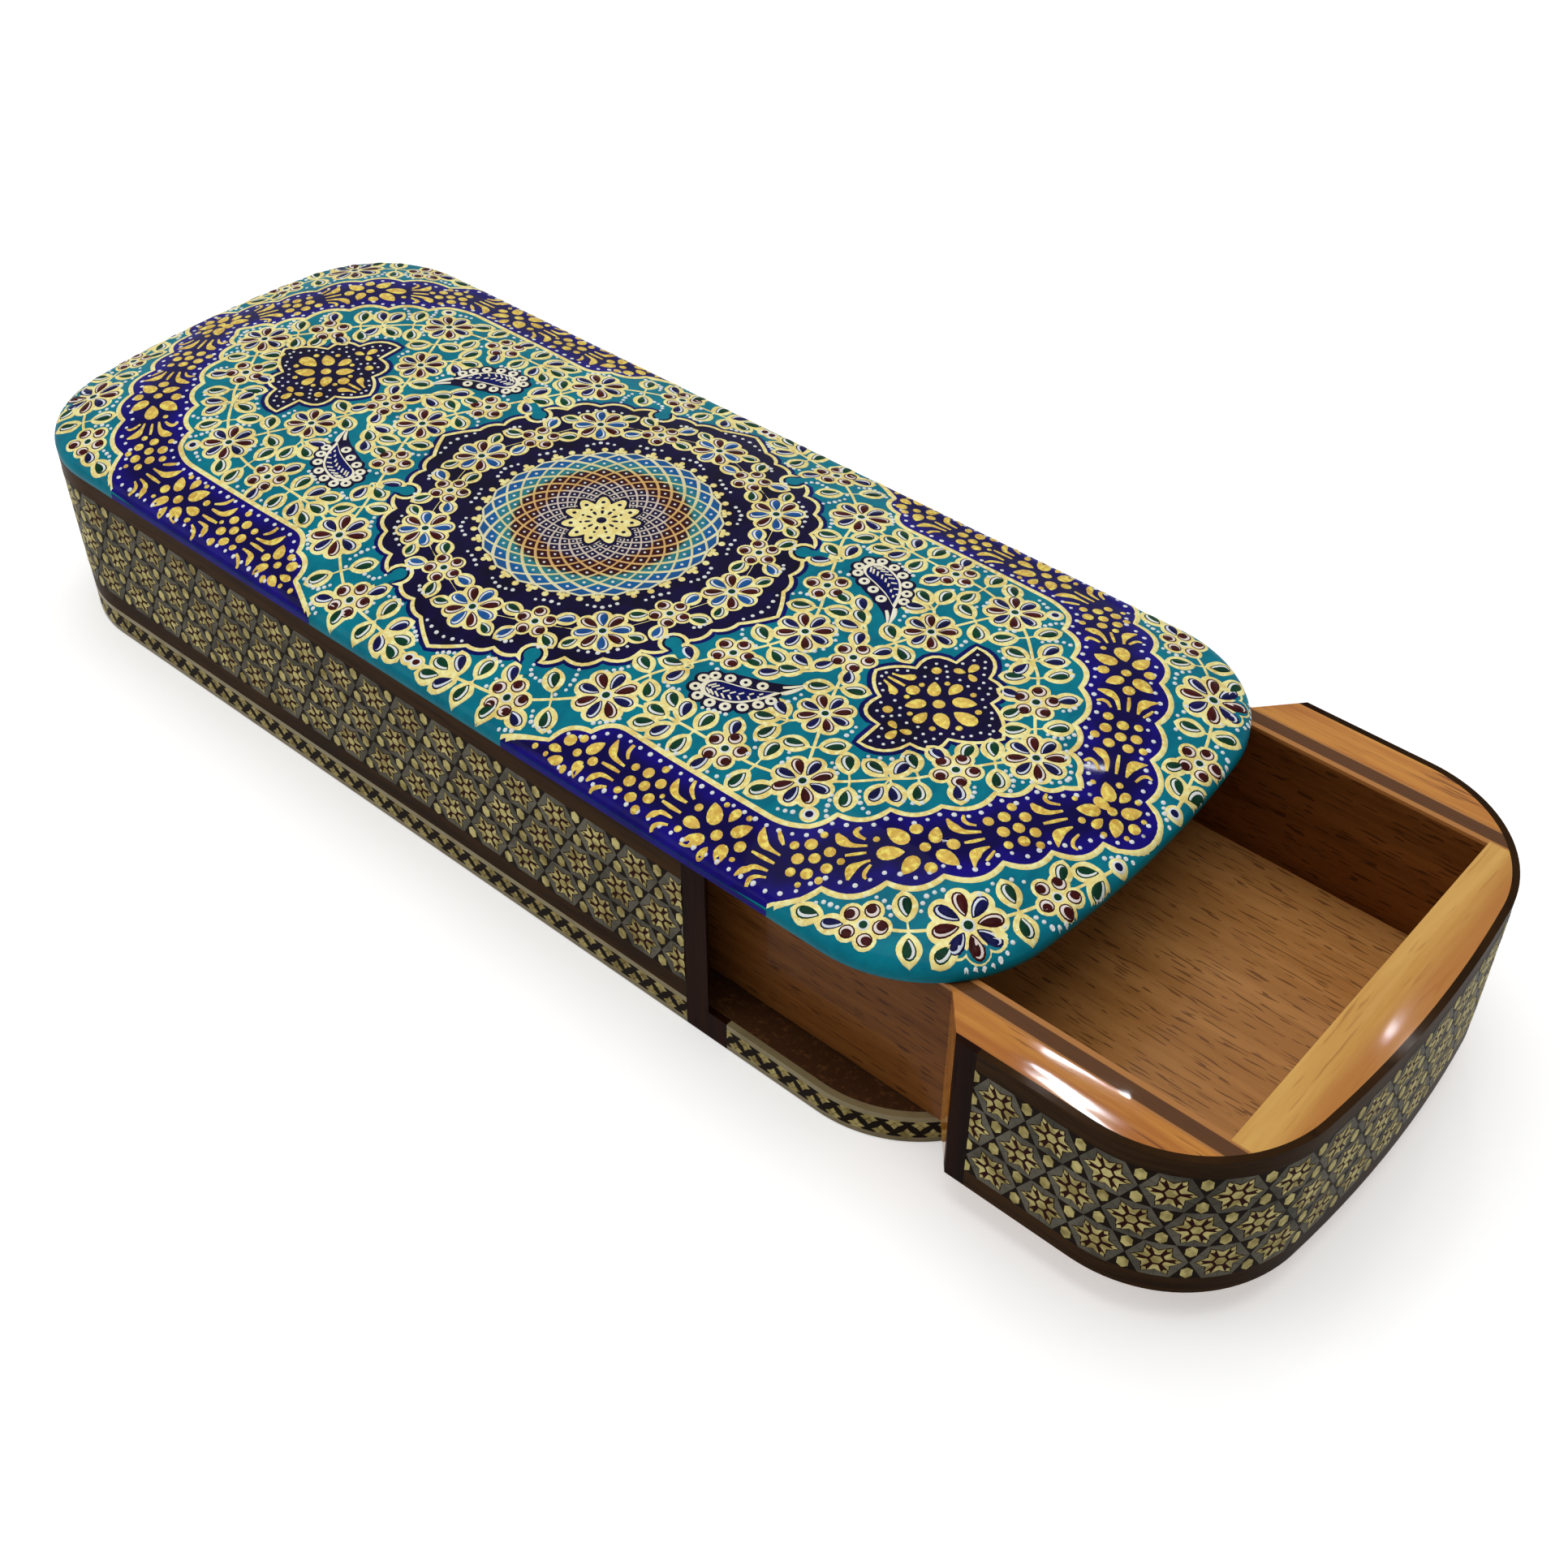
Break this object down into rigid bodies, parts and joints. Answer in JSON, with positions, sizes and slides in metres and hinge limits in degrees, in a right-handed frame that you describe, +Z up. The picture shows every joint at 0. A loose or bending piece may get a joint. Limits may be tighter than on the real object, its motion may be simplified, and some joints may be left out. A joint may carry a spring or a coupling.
{
  "type": "pen box",
  "caption": "Long lidded pen box in marquetry and walnut with a painted, crowned top and an end drawer that slides out lengthwise.",
  "frame": {"origin": "centre of the case's resting face", "axes": "+X along the box, the way the drawer opens; +Z up"},
  "size_m": [0.2885, 0.098, 0.0456],
  "materials": {
    "fibreboard": "matt",
    "walnut": "gloss lacquer",
    "dark_walnut": "gloss lacquer",
    "khatam": "gloss lacquer",
    "bone": "gloss lacquer",
    "beech": "satin lacquer",
    "honey_wood": "gloss lacquer",
    "amber_wood": "gloss lacquer",
    "painted_top": "painted and lacquered"
  },
  "bodies": {
    "case": {"base_plate": "fibreboard", "base_border_rear": "khatam", "base_border_front": "khatam", "base_line_high_rear": "bone", "base_line_high_front": "bone", "base_line_low_rear": "bone", "base_line_low_front": "bone", "base_block_left": "dark_walnut", "base_block_right": "dark_walnut", "wall_left": "walnut", "wall_right": "walnut", "rear_block": "walnut", "body_band_low": "walnut", "body_khatam": "khatam", "body_band_high": "walnut", "body_post_left": "dark_walnut", "body_post_right": "dark_walnut", "top_panel": "painted_top"},
    "drawer": {"drawer_bottom": "beech", "drawer_side_left": "walnut", "drawer_side_right": "walnut", "drawer_lining_left": "beech", "drawer_lining_right": "beech", "drawer_back": "beech", "drawer_front": "honey_wood", "drawer_filler_left": "amber_wood", "drawer_filler_right": "amber_wood", "drawer_band_low": "walnut", "drawer_khatam": "khatam", "drawer_band_high": "walnut", "drawer_strip_left": "dark_walnut", "drawer_strip_right": "dark_walnut"}
  },
  "joints": [
    {"name": "drawer_slide", "type": "slide", "parent": "case", "child": "drawer", "axis": [1, 0, 0], "range_m": [-0.0485, 0.0915]}
  ]
}
